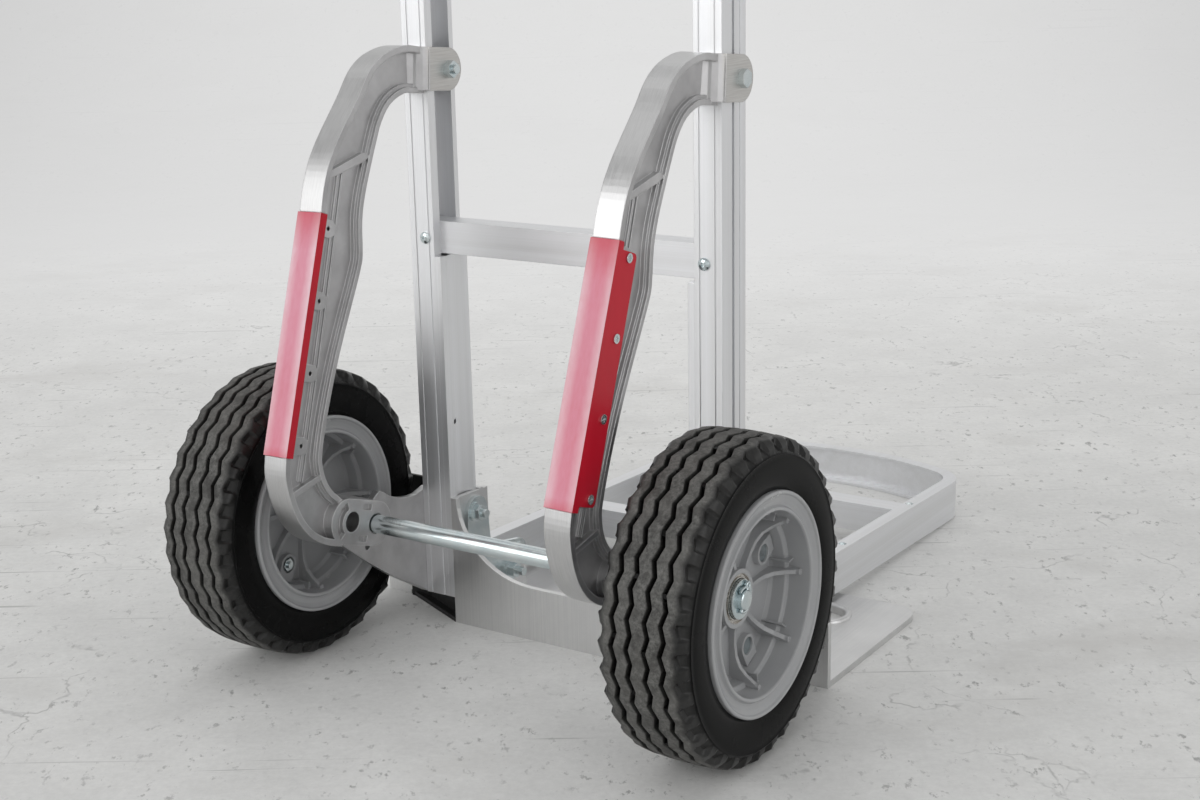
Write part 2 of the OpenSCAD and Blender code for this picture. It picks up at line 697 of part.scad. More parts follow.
// ---------- Folding extension ----------

// Plan outline of the U frame, moved inward by d, from the left arm round to the right arm
bow_c = ext_reach - ext_bow_r;
corner_x = ext_half - ext_corner_r;
corner_y = bow_c + sqrt(pow(ext_bow_r - ext_corner_r, 2) - pow(corner_x, 2));
bow_a = atan2(corner_y - bow_c, corner_x);
function u_outline(d) = concat(
    [[ext_half - d, -ext_down - 2]],
    arc([corner_x, corner_y], ext_corner_r - d, 0, bow_a, 8),
    arc([0, bow_c], ext_bow_r - d, bow_a, 180 - bow_a, 16),
    arc([-corner_x, corner_y], ext_corner_r - d, 180 - bow_a, 180, 8),
    [[-ext_half + d, -ext_down - 2]]);

module ext_place() translate([0, pivot_pos.x, pivot_pos.y]) rotate([-ext_tilt, 0, 0]) children();

module u_channel() translate([0, 0, -ext_down]) {
    linear_extrude(ext_h) difference() {
        polygon(u_outline(0));
        polygon(u_outline(ext_wall));
    }
    for (z = [0, ext_h - ext_wall]) translate([0, 0, z]) linear_extrude(ext_wall) difference() {
        polygon(u_outline(0));
        polygon(u_outline(ext_flange));
    }
}

rivet_x = ext_half - 8;
rivet_y = [for (y = slat_y) y + 19];
rivet_r = 2.4;
slat_end = ext_half - ext_wall;
slat_top = ext_up - ext_wall;

module extension_frame() color(c_rail) ext_place() difference() {
    intersection() {
        u_channel();
        // the arms' rear ends are rounded about the pivot
        union() {
            rod(-ext_w, ext_w, [0, 0], ext_down);
            translate([-ext_w, 0, -ext_h]) cube([2 * ext_w, 2 * ext_reach, 2 * ext_h]);
        }
    }
    both() rod(ext_half - ext_wall - 1, ext_half + 1, [0, 0], m8 / 2 + 0.06);
    both() for (y = rivet_y) translate([rivet_x, y, 0]) cylinder(r = rivet_r + fit, h = ext_h);
}

module slat(y) color(c_rail) ext_place() difference() {
    translate([-slat_end, y, slat_top - slat_h]) rotate([90, 0, 90]) linear_extrude(2 * slat_end)
        difference() {
            square([slat_d, slat_h]);
            translate([crossbar_t, crossbar_t]) square([slat_d, slat_h - 2 * crossbar_t]);
        }
    both() translate([rivet_x, y + 19, 0]) cylinder(r = rivet_r + fit, h = ext_h);
}

module extension_slat_rear() slat(slat_y[0]);
module extension_slat_front() slat(slat_y[1]);

module extension_rivets() color(c_zinc) ext_place() both() for (y = rivet_y) translate([rivet_x, y, 0]) {
    translate([0, 0, slat_top - crossbar_t - 1.5]) cylinder(r = rivet_r, h = ext_wall + crossbar_t + 1.5);
    translate([0, 0, slat_top - crossbar_t - 1.5]) cylinder(r = rivet_r + 1.4, h = 1.5);
    intersection() {
        translate([0, 0, ext_up - 5]) sphere(r = 6.5);
        translate([0, 0, ext_up]) cylinder(r = 4.2, h = 5);
    }
}

// ---------- Wheels ----------

// Puts a shape turned about Z on the wheel's axle, its +Z to the outside
module wheel_place(side)
    translate([side * wheel_x, axle_pos.x, axle_pos.y]) rotate([0, side * 90, 0]) children();

rim_floor_t = 3;
rim_rib_t = 3.6;
rim_wall_r = 70.3;   // upper part of the dish's wall, above a small ledge
ledge_z = 17;
rim_seat = [[seat_r, 0], [seat_r, 27], [80.5, 30], [84, 33], [rim_r, 34.5]];   // where the tyre sits
rim_section = concat(rim_seat, [[rim_r, 37.8], [rim_r - 0.7, 38.7], [rim_r - 1.7, rim_half_w],
    [rim_r - 2.7, 38.5], [83, 36.8], [80, 34.8], [77.2, 33.8], [75.2, 34], [74.2, 35.4], [73.6, 36.9],
    [72.5, 37.6], [71.3, 37.2], [70.7, 36], [rim_wall_r, ledge_z + 1], [68, ledge_z], [67, ledge_z - 1],
    [66.3, rim_floor_t + 3], [64.5, rim_floor_t], [hub_r - 1, rim_floor_t], [hub_r - 1, 0]]);
rib_outline = [[hub_r - 2, 1], [hub_r - 2, 10.5], [28, 8.8], [38, 8.4], [48, 9.3], [56, 12.3], [62, 18],
    [66.5, 24.5], [69, 27.5], [71.5, 28.3], [71.5, 1]];

module rim_bolt_ring() for (i = [0:rim_bolts_n - 1])
    rotate([0, 0, rim_bolt_a + i * 360 / rim_bolts_n]) translate([rim_bolt_r, 0, 0]) children();

pad_h = 8.6;
pad_r = 9.5;
bolt_floor = 3.6;    // recess in each pad
bolt_head_r = 6.8;

module rim_half() difference() {
    union() {
        rotate_extrude($fn = 96) polygon(rim_section);
        cylinder(r = hub_r, h = hub_half);
        for (i = [0:rim_ribs - 1]) rotate([0, 0, 2 + i * 360 / rim_ribs]) {
            rotate([90, 0, 0]) translate([0, 0, -rim_rib_t / 2])
                linear_extrude(rim_rib_t) polygon(rib_outline);
            translate([rim_wall_r - 0.8, 0, 1]) cylinder(r = rim_rib_t / 2 + 0.6, h = 27.6, $fn = 16);
            // short stiffener on the wall beside each rib
            rotate([0, 0, 8]) translate([64, -0.7, 1]) cube([8, 1.4, 21]);
        }
        rim_bolt_ring() {
            cylinder(r = pad_r, h = pad_h);
            linear_extrude(pad_h)
                polygon([[0, -pad_r], [14.5, -pad_r + 1.5], [14.5, pad_r - 1.5], [0, pad_r]]);
        }
    }
    translate([0, 0, hub_half - bearing_w]) cylinder(r = bearing_r, h = bearing_w + 1);
    translate([0, 0, -1]) cylinder(r = axle_d / 2 + 3, h = hub_half + 2);
    rim_bolt_ring() {
        translate([0, 0, -1]) cylinder(r = m6 / 2 + fit, h = pad_h);
        translate([0, 0, bolt_floor]) cylinder(r = bolt_head_r + 0.4, h = pad_h);
    }
}

module rim_outer(side) color(c_rim) wheel_place(side) rim_half();
module rim_inner(side) color(c_rim) wheel_place(side) mirror([0, 0, 1]) rim_half();

module bearings(side) color(c_zinc) wheel_place(side) for (m = [0, 1]) mirror([0, 0, m])
    translate([0, 0, hub_half - bearing_w]) difference() {
        cylinder(r = bearing_r, h = bearing_w);
        translate([0, 0, -1]) cylinder(r = axle_d / 2 + 0.06, h = bearing_w + 2);
        // grooves on both sides of the outer race
        for (r = [[10.8, 15.8], [17, 18.9]]) translate([0, 0, bearing_w - 1.4]) difference() {
            cylinder(r = r[1], h = 2);
            translate([0, 0, -1]) cylinder(r = r[0], h = 4);
        }
    }

module rim_bolts(side) color(c_zinc) wheel_place(side) rim_bolt_ring() {
    translate([0, 0, -11]) cylinder(r = m6 / 2, h = 15);
    translate([0, 0, bolt_floor]) cylinder(r = bolt_head_r, h = 3.4);
}

m6_af = 10;
module rim_nuts(side) color(c_zinc) wheel_place(side) rim_bolt_ring()
    translate([0, 0, -pad_h]) difference() {
        cylinder(r = m6_af / sqrt(3), h = pad_h - bolt_floor, $fn = 6);
        translate([0, 0, -1]) cylinder(r = m6 / 2 + fit, h = pad_h);
    }

groove_w = 4;
groove_d = 6.5;
shoulder_n = 36;
tyre_half = concat(rim_seat, [[rim_r + 3, 35.5], [95, tyre_w / 2], [103, tyre_w / 2 + 0.3],
    [111, tyre_w / 2 - 0.7], [118, tyre_w / 2 - 3], [122.5, tyre_w / 2 - 5], [125, tyre_w / 2 - 8.5],
    [126.4, 22], [tyre_r, 12], [tyre_r, 0]]);

module tyre(side) color(c_tyre) wheel_place(side) difference() {
    rotate_extrude($fn = 96) polygon(concat(tyre_half, [for (p = backwards(tyre_half)) [p.x, -p.y]]));
    for (z = [-21, -8, 8, 21]) translate([0, 0, z - groove_w / 2]) difference() {
        cylinder(r = tyre_r + 2, h = groove_w, $fn = 96);
        translate([0, 0, -1]) cylinder(r = tyre_r - groove_d, h = groove_w + 2, $fn = 96);
    }
    for (s = [-1, 1], i = [0:shoulder_n - 1]) rotate([0, 0, side * (4 - s * 2.5) + 90 + i * 360 / shoulder_n])
        translate([tyre_r - 1.5, 0, s * (tyre_w / 2 - 2.5)]) rotate([0, 90 - s * 50, 0])
            cylinder(r = 3.2, h = 12, center = true, $fn = 16);
}

// ---------- Selection ----------

module tyre_left() tyre(-1);
module tyre_right() tyre(1);
module rim_outer_left() rim_outer(-1);
module rim_outer_right() rim_outer(1);
module rim_inner_left() rim_inner(-1);
module rim_inner_right() rim_inner(1);
module bearings_left() bearings(-1);
module bearings_right() bearings(1);
module rim_bolts_left() rim_bolts(-1);
module rim_bolts_right() rim_bolts(1);
module rim_nuts_left() rim_nuts(-1);
module rim_nuts_right() rim_nuts(1);

place() rail_left();
place() rail_right();
place() rail_insert_left();
place() rail_insert_right();
place() crossbar_lower();
place() crossbar_middle();
place() crossbar_upper();
place() crossbar_screws();
place() handle_loop();
place() handle_grip();
place() handle_screws();
place() climber_arm_left();
place() climber_arm_right();
place() arm_bolts();
place() arm_nuts();
place() wear_strip_left();
place() wear_strip_right();
place() wear_strip_screws_left();
place() wear_strip_screws_right();
place() wheel_bracket_left();
place() wheel_bracket_right();
place() bracket_bolts();
place() bracket_nuts();
place() nose_plate();
place() rail_foot_left();
place() rail_foot_right();
place() axle();
place() axle_spacer_left();
place() axle_spacer_right();
place() axle_washers();
place() cotter_pins();
place() hinge_plate_left();
place() hinge_plate_right();
place() hinge_bolts();
place() hinge_nuts();
place() pivot_bolts();
place() pivot_nuts();
place() pivot_spacers();
place() extension_frame();
place() extension_slat_rear();
place() extension_slat_front();
place() extension_rivets();
place() tyre_left();
place() tyre_right();
place() rim_outer_left();
place() rim_outer_right();
place() rim_inner_left();
place() rim_inner_right();
place() bearings_left();
place() bearings_right();
place() rim_bolts_left();
place() rim_bolts_right();
place() rim_nuts_left();
place() rim_nuts_right();
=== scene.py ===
"""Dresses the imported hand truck: finishes, treaded tyres, floor, light and camera."""

import math

import bpy
import numpy as np
from mathutils import Matrix, Vector


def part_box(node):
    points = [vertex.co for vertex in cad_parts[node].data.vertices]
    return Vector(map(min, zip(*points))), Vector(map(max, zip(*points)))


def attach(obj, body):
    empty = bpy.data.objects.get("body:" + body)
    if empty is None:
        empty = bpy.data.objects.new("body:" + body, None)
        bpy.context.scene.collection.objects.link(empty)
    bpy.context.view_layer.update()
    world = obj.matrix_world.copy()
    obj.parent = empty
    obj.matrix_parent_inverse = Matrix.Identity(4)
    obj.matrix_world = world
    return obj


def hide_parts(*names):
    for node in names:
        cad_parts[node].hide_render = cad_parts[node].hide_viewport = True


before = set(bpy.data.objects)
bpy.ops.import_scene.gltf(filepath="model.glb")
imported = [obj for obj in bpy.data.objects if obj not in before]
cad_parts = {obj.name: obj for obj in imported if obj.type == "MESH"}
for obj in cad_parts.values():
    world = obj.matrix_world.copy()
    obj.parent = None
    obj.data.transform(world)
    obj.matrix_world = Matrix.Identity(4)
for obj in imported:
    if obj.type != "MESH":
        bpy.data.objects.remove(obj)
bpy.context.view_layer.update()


def corners(node):
    """The lowest and the highest corner of a CAD node's box."""
    low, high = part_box(node)
    return Vector(low), Vector(high)


def centre(node):
    """The middle of a CAD node's box."""
    low, high = corners(node)
    return (low + high) / 2


AXLE = centre("axle")

# ---------- Camera ----------

CAMERA_FROM_AXLE = Vector((0.8404, -1.1091, 0.4892))
CAMERA_HEADING = math.radians(33.43)  # to the left of straight ahead
CAMERA_PITCH = math.radians(14.76)  # downward
CAMERA_ROLL = math.radians(-1.18)
LENS_MM = 53.68
SENSOR_MM = 36.0
CLIP_END = 60.0


def make_camera():
    data = bpy.data.cameras.new("camera")
    data.lens = LENS_MM
    data.sensor_width = SENSOR_MM
    data.clip_end = CLIP_END
    camera = bpy.data.objects.new("camera", data)
    bpy.context.scene.collection.objects.link(camera)
    ahead = Vector((
        -math.sin(CAMERA_HEADING) * math.cos(CAMERA_PITCH),
        math.cos(CAMERA_HEADING) * math.cos(CAMERA_PITCH),
        -math.sin(CAMERA_PITCH),
    ))
    right = Vector((math.cos(CAMERA_HEADING), math.sin(CAMERA_HEADING), 0.0))
    up = right.cross(ahead)
    turned_right = math.cos(CAMERA_ROLL) * right + math.sin(CAMERA_ROLL) * up
    turned_up = -math.sin(CAMERA_ROLL) * right + math.cos(CAMERA_ROLL) * up
    turn = Matrix((turned_right, turned_up, -ahead)).transposed().to_4x4()
    camera.matrix_world = Matrix.Translation(AXLE + CAMERA_FROM_AXLE) @ turn
    bpy.context.scene.camera = camera


# ---------- Material helpers ----------


def feed(tree, socket, value):
    """Gives an input its value, or links another node's output to it."""
    if isinstance(value, bpy.types.NodeSocket):
        tree.links.new(value, socket)
    else:
        socket.default_value = value


def give(tree, bsdf, **sockets):
    """Feeds a shader's inputs, which are given by name with _ for a space."""
    for name, value in sockets.items():
        feed(tree, bsdf.inputs[name.replace("_", " ")], value)


def start(name, **constants):
    """A new Principled material with its constant inputs."""
    material = bpy.data.materials.new(name)
    material.use_nodes = True
    tree = material.node_tree
    bsdf = tree.nodes["Principled BSDF"]
    give(tree, bsdf, **constants)
    return material, tree, bsdf


def add(tree, kind, links=None, **settings):
    """A node with its settings, and its inputs as values or as other nodes' outputs."""
    node = tree.nodes.new("ShaderNode" + kind)
    for key, value in settings.items():
        setattr(node, key, value)
    for socket, value in (links or {}).items():
        feed(tree, node.inputs[socket], value)
    return node


def calc(tree, operation, *values):
    return add(tree, "Math", dict(enumerate(values)), operation=operation).outputs[0]


def plus(tree, first, second):
    return calc(tree, "ADD", first, second)


def minus(tree, first, second):
    return calc(tree, "SUBTRACT", first, second)


def times(tree, first, second):
    return calc(tree, "MULTIPLY", first, second)


def unsigned(tree, value):
    """The value without its sign."""
    return calc(tree, "ABSOLUTE", value)


def weigh(tree, *parts):
    """The sum of (value, weight) pairs."""
    total = None
    for value, weight in parts:
        term = times(tree, value, weight)
        total = term if total is None else plus(tree, total, term)
    return total


def remap(tree, value, low, high, out_low=0, out_high=1, smooth=False):
    """Value from low..high to out_low..out_high, clamped."""
    links = {
        "Value": value, "From Min": low, "From Max": high, "To Min": out_low, "To Max": out_high,
    }
    kind = "SMOOTHSTEP" if smooth else "LINEAR"
    return add(tree, "MapRange", links, interpolation_type=kind, clamp=True).outputs["Result"]


def between(tree, factor, first, second):
    """A number between two numbers."""
    return remap(tree, factor, 0, 1, first, second)


def mix(tree, factor, first, second):
    """A colour between two colours."""
    node = add(tree, "Mix", data_type="RGBA")
    inputs = {socket.identifier: socket for socket in node.inputs}
    feed(tree, inputs["Factor_Float"], factor)
    feed(tree, inputs["A_Color"], first)
    feed(tree, inputs["B_Color"], second)
    return next(o for o in node.outputs if o.identifier == "Result_Color")


def grey(value, tint=(1.0, 1.0, 1.0)):
    return (value * tint[0], value * tint[1], value * tint[2], 1.0)


def object_coords(tree):
    return add(tree, "TexCoord").outputs["Object"]


def place(tree, stretch=(1, 1, 1), turn=(0, 0, 0)):
    """Object coordinates, stretched and turned."""
    links = {"Vector": object_coords(tree), "Scale": stretch, "Rotation": turn}
    return add(tree, "Mapping", links).outputs["Vector"]


def noise(tree, scale, stretch=(1, 1, 1), detail=3.0, rough=0.55, turn=(0, 0, 0)):
    """Noise of about 1/scale metres, from 0 to 1."""
    links = {
        "Vector": place(tree, stretch, turn), "Scale": scale, "Detail": detail, "Roughness": rough,
    }
    return add(tree, "TexNoise", links).outputs["Fac"]


def split(tree, vector):
    parts = add(tree, "SeparateXYZ", {"Vector": vector}).outputs
    return parts["X"], parts["Y"], parts["Z"]


def position(tree):
    """Where a point is along X, Y and Z, in the object's own axes."""
    return split(tree, object_coords(tree))


def facing(tree):
    """How far a surface faces along X, Y and Z, in the object's own axes and with sign."""
    return split(tree, add(tree, "TexCoord").outputs["Normal"])


def edges(tree, radius, low=0.03, high=0.22):
    """1 within about radius metres of a sharp edge, and 0 elsewhere."""
    rounded = add(tree, "Bevel", {"Radius": radius}, samples=6).outputs["Normal"]
    true = add(tree, "NewGeometry").outputs["True Normal"]
    dot = add(tree, "VectorMath", {0: rounded, 1: true}, operation="DOT_PRODUCT").outputs["Value"]
    return remap(tree, minus(tree, 1.0, dot), low, high)


def highlight_edges(tree, colour, radius, amount, wear_and_highlight):
    """The colour, turned towards a paler colour along sharp edges: a painted highlight."""
    return mix(tree, times(tree, edges(tree, radius), amount), colour, wear_and_highlight)


def bump(tree, bsdf, height, distance, strength=1.0, edge=0.0):
    """Bump over slightly rounded edges; edge is the rounding radius in metres."""
    links = {"Height": height, "Distance": distance, "Strength": strength}
    if edge:
        links["Normal"] = add(tree, "Bevel", {"Radius": edge}, samples=4).outputs["Normal"]
    give(tree, bsdf, Normal=add(tree, "Bump", links).outputs["Normal"])


# ---------- Materials ----------


def extruded(name, along, tone=0.86):
    """Satin mill-finish aluminium with fine die lines along one axis."""
    material, tree, bsdf = start(name, Metallic=1.0)
    lines = noise(tree, 1.0, tuple(4.0 if axis == along else 1100.0 for axis in "xyz"), detail=2.0)
    bands = noise(tree, 1.0, tuple(1.2 if axis == along else 120.0 for axis in "xyz"))
    cloud = noise(tree, 7.0, detail=4.0)
    shade = weigh(tree, (lines, 0.35), (bands, 0.65))
    low = grey(tone * 0.95, (0.985, 0.99, 1.0))
    high = grey(tone * 1.03, (0.985, 0.992, 1.01))
    rough = remap(tree, bands, 0.3, 0.7, 0.42, 0.49)
    give(
        tree, bsdf,
        Base_Color=mix(tree, remap(tree, shade, 0.35, 0.65), low, high),
        Roughness=plus(tree, rough, remap(tree, cloud, 0.3, 0.7, -0.03, 0.04)),
    )
    bump(tree, bsdf, lines, 0.00003, 0.35, edge=0.0005)
    return material


EAR_DEPTH = (-0.003, 0.001)  # where the arms' ears begin, from the rail's rear face
EAR_HEIGHT = (0.46, 0.47)


def cast(name):
    """Cast aluminium: cloudy sides, ground rear faces and brushed ears."""
    material, tree, bsdf = start(name, Metallic=1.0)
    face_x, _, _ = facing(tree)
    _, along, height = position(tree)
    ground = remap(tree, unsigned(tree, face_x), 0.25, 0.5, 1.0, 0.0)
    rail_rear = corners("rail_left")[0].y
    forward = remap(tree, along, *(rail_rear + depth for depth in EAR_DEPTH))
    ear = times(tree, forward, remap(tree, height, *EAR_HEIGHT))
    grain = noise(tree, 700.0, detail=4.0)
    cloud = noise(tree, 26.0, detail=5.0, rough=0.6)
    patch = noise(tree, 9.0, (1, 1, 0.5))
    streak = noise(tree, 1.0, (2200.0, 90.0, 60.0))
    level = noise(tree, 1.0, (25.0, 30.0, 1300.0))
    mottle = weigh(tree, (cloud, 0.6), (patch, 0.4))
    mottled = remap(tree, mottle, 0.36, 0.64)
    streaked = remap(tree, streak, 0.35, 0.65)
    side_colour = mix(tree, mottled, (0.42, 0.415, 0.42, 1), (0.64, 0.635, 0.64, 1))
    face_colour = mix(tree, streaked, grey(0.52), grey(0.60))
    levelled = remap(tree, level, 0.35, 0.65)
    ear_colour = mix(tree, levelled, (0.58, 0.565, 0.545, 1), (0.68, 0.67, 0.65, 1))
    colour = mix(tree, ear, mix(tree, ground, side_colour, face_colour), ear_colour)
    side_rough = remap(tree, mottle, 0.36, 0.64, 0.34, 0.48)
    face_rough = remap(tree, streak, 0.35, 0.65, 0.30, 0.42)
    # painted highlight: the edges are painted paler, towards grey(0.86)
    give(
        tree, bsdf,
        Base_Color=highlight_edges(tree, colour, 0.0011, 0.6, grey(0.86)),
        Roughness=between(tree, ear, between(tree, ground, side_rough, face_rough), 0.46),
    )
    relief = between(tree, ear, between(tree, ground, grain, streak), level)
    bump(tree, bsdf, relief, 0.00008, 0.45, edge=0.0014)
    return material


def brushed(name):
    """Brushed aluminium: scratches run up the walls and from back to front on the base."""
    material, tree, bsdf = start(name, Metallic=1.0)
    face_x, _, _ = facing(tree)
    sideways = remap(tree, unsigned(tree, face_x), 0.4, 0.6)
    wide = noise(tree, 1.0, (760.0, 7.0, 7.0), detail=4.0, rough=0.6)
    deep = noise(tree, 1.0, (7.0, 760.0, 7.0), detail=4.0, rough=0.6)
    streak = between(tree, sideways, wide, deep)
    cloud = noise(tree, 11.0, detail=5.0, rough=0.6)
    streaked = remap(tree, streak, 0.35, 0.65)
    colour = mix(tree, streaked, grey(0.70), grey(0.77, (1.0, 1.0, 0.99)))
    colour = mix(tree, remap(tree, cloud, 0.35, 0.65, 0, 0.45), colour, grey(0.56))
    rough = remap(tree, streak, 0.3, 0.7, 0.30, 0.40)
    # painted highlight: the edges are painted paler, towards grey(0.88)
    give(
        tree, bsdf,
        Base_Color=highlight_edges(tree, colour, 0.0010, 0.7, grey(0.88)),
        Roughness=plus(tree, rough, remap(tree, cloud, 0.3, 0.7, -0.04, 0.05)),
    )
    bump(tree, bsdf, streak, 0.00004, 0.25, edge=0.0010)
    return material


def zinc(name, rough=0.20):
    """Bright zinc plate with a faint blue-green tint."""
    material, tree, bsdf = start(name, Metallic=1.0)
    cloud = noise(tree, 55.0)
    spots = noise(tree, 500.0, detail=2.0)
    clouded = remap(tree, cloud, 0.35, 0.65)
    colour = mix(tree, clouded, (0.60, 0.68, 0.70, 1), (0.74, 0.79, 0.79, 1))
    # painted highlight: the edges are painted paler, towards grey(0.9)
    give(
        tree, bsdf,
        Base_Color=highlight_edges(tree, colour, 0.0005, 0.5, grey(0.9)),
        Roughness=remap(tree, cloud, 0.3, 0.7, rough - 0.04, rough + 0.05),
    )
    bump(tree, bsdf, spots, 0.00001, 0.3, edge=0.0004)
    return material


DARK_BAND_FROM, DARK_BAND_TO = 0.0107, 0.0159  # the bearings' near-black band, from the axle's centre line
DARK_BAND_SOFT = 0.0001


def from_axle(tree):
    """Distance from the axle's centre line."""
    _, along, height = position(tree)
    back = minus(tree, along, AXLE.y)
    up = minus(tree, height, AXLE.z)
    return calc(tree, "SQRT", plus(tree, times(tree, back, back), times(tree, up, up)))


def bearing_steel(name):
    """Steel rings with a near-black band between them."""
    material, tree, bsdf = start(name)
    radius = from_axle(tree)
    inside = remap(tree, radius, DARK_BAND_FROM - DARK_BAND_SOFT, DARK_BAND_FROM + DARK_BAND_SOFT)
    dark_band = times(tree, inside, remap(tree, radius, DARK_BAND_TO - DARK_BAND_SOFT, DARK_BAND_TO + DARK_BAND_SOFT, 1, 0))
    stain = noise(tree, 260.0)
    stained = remap(tree, stain, 0.35, 0.65)
    steel = mix(tree, stained, (0.50, 0.47, 0.43, 1), (0.66, 0.64, 0.61, 1))
    give(
        tree, bsdf,
        Base_Color=mix(tree, dark_band, steel, (0.035, 0.03, 0.026, 1)),
        Metallic=minus(tree, 1.0, dark_band),
        Roughness=remap(tree, stain, 0.3, 0.7, 0.18, 0.30),
    )
    bump(tree, bsdf, stain, 0.00001, 0.3, edge=0.0003)
    return material


STRIP_MIDDLE = 0.013  # the middle of a wear strip, from its inner side at its foot
ARM_LEAN = math.radians(1.3)  # the arms' and strips' lean
STRIP_FLAT = (0.004, 0.0115)  # from the strip's middle: where its painted pale sheen grows, and is full
STRIP_FOOT = 0.012  # less painted sheen over this height at the strip's foot
STRIP_TOP = 0.03


def red_plastic(name):
    """Moulded red plastic whose rear face carries a painted pale pink sheen, a painted reflection
    of the lamps.
    """
    material, tree, bsdf = start(name, Specular_IOR_Level=0.3)
    across, _, height = position(tree)
    _, face_y, _ = facing(tree)
    low, high = corners("wear_strip_right")
    rise = times(tree, minus(tree, height, low.z), math.tan(ARM_LEAN))
    middle = plus(tree, rise, low.x + STRIP_MIDDLE)
    off = unsigned(tree, minus(tree, unsigned(tree, across), middle))
    cloud = noise(tree, 26.0, (1, 1, 0.45), detail=4.0)
    broad = noise(tree, 9.0, (1, 1, 0.6), detail=2.0)
    grain = noise(tree, 1200.0, detail=2.0)
    sheen_streak = noise(tree, 1.0, (320.0, 320.0, 14.0))
    clouded = remap(tree, cloud, 0.3, 0.7)
    base = mix(tree, clouded, (0.50, 0.005, 0.020, 1), (0.60, 0.010, 0.030, 1))
    outward = remap(tree, off, *STRIP_FLAT)
    pale = mix(tree, outward, (0.72, 0.33, 0.42, 1), (0.82, 0.60, 0.66, 1))
    amount = remap(tree, broad, 0.3, 0.7, 0.70, 1.0)
    amount = plus(tree, amount, remap(tree, sheen_streak, 0.3, 0.7, -0.06, 0.05))
    foot = remap(tree, height, low.z, low.z + STRIP_FOOT, 0.35, 1)
    top = remap(tree, height, high.z - STRIP_TOP, high.z, 1, 0.35)
    amount = times(tree, amount, times(tree, foot, top))
    # painted sheen: faces turned to the rear are painted pale pink, less so near the strip's ends
    rear = times(tree, remap(tree, face_y, -0.8, -0.55, 1, 0), amount)
    colour = mix(tree, rear, base, pale)
    rough = remap(tree, cloud, 0.3, 0.7, 0.30, 0.38)
    # painted highlight: the edges are painted a paler pink
    give(
        tree, bsdf,
        Base_Color=highlight_edges(tree, colour, 0.0008, 0.25, (0.80, 0.40, 0.46, 1)),
        Roughness=plus(tree, rough, times(tree, rear, 0.12)),
    )
    bump(tree, bsdf, grain, 0.00004, 0.3, edge=0.0009)
    return material


def rim_plastic(name):
    """Light grey moulded plastic, semi-gloss, with a painted highlight along its edges."""
    material, tree, bsdf = start(name, Specular_IOR_Level=0.5)
    cloud = noise(tree, 22.0, detail=4.0)
    grain = noise(tree, 800.0)
    clouded = remap(tree, cloud, 0.3, 0.7)
    colour = mix(tree, clouded, (0.360, 0.365, 0.375, 1), (0.405, 0.41, 0.415, 1))
    # painted highlight: the edges are painted paler, towards grey(0.60)
    give(
        tree, bsdf,
        Base_Color=highlight_edges(tree, colour, 0.0012, 0.4, grey(0.60)),
        Roughness=remap(tree, cloud, 0.3, 0.7, 0.20, 0.28),
    )
    bump(tree, bsdf, grain, 0.00004, 0.3, edge=0.0012)
    return material


def black_rubber(name):
    """Matt black rubber with a fine grain."""
    material, tree, bsdf = start(name, Specular_IOR_Level=0.3)
    grain = noise(tree, 500.0, detail=4.0)
    give(
        tree, bsdf,
        Base_Color=mix(tree, grain, grey(0.008), grey(0.022)),
        Roughness=remap(tree, grain, 0.3, 0.7, 0.42, 0.58),
    )
    bump(tree, bsdf, grain, 0.00015, 0.5, edge=0.001)
    return material


def tyre_rubber(name):
    """Black rubber: dusty and matt on the rubbed tread, satin in the grooves and on the sidewalls.
    """
    material, tree, bsdf = start(name, Specular_IOR_Level=0.2)
    wear_and_highlight = add(tree, "Attribute", attribute_name="wear").outputs["Fac"]
    cloud = noise(tree, 24.0, detail=5.0, rough=0.6)
    dust = noise(tree, 360.0, detail=5.0, rough=0.75)
    patch = noise(tree, 70.0, detail=4.0, rough=0.65)
    dusty = remap(tree, dust, 0.32, 0.68)
    tread = mix(tree, dusty, (0.034, 0.034, 0.032, 1), (0.160, 0.158, 0.150, 1))
    tread = mix(tree, remap(tree, patch, 0.44, 0.60, 0, 0.6), tread, (0.026, 0.025, 0.023, 1))
    tread = mix(tree, remap(tree, cloud, 0.45, 0.68, 0, 0.4), tread, (0.150, 0.147, 0.138, 1))
    wall = mix(tree, remap(tree, cloud, 0.3, 0.7), grey(0.003), grey(0.006))
    wall_rough = remap(tree, cloud, 0.3, 0.7, 0.22, 0.30)
    give(
        tree, bsdf,
        Base_Color=mix(tree, wear_and_highlight, wall, tread),
        Roughness=between(tree, wear_and_highlight, wall_rough, 0.68),
        Specular_IOR_Level=remap(tree, wear_and_highlight, 0.0, 0.12, 0.07, 0.35),
    )
    bump(tree, bsdf, times(tree, dust, plus(tree, wear_and_highlight, 0.06)), 0.0003, 0.6)
    return material


def dress(material, *names):
    """Gives a material to every CAD node whose name starts with one of the names."""
    for name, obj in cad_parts.items():
        if name.startswith(names):
            obj.data.materials.clear()
            obj.data.materials.append(material)


# ---------- Tyres (sizes in mm, angles in degrees) ----------

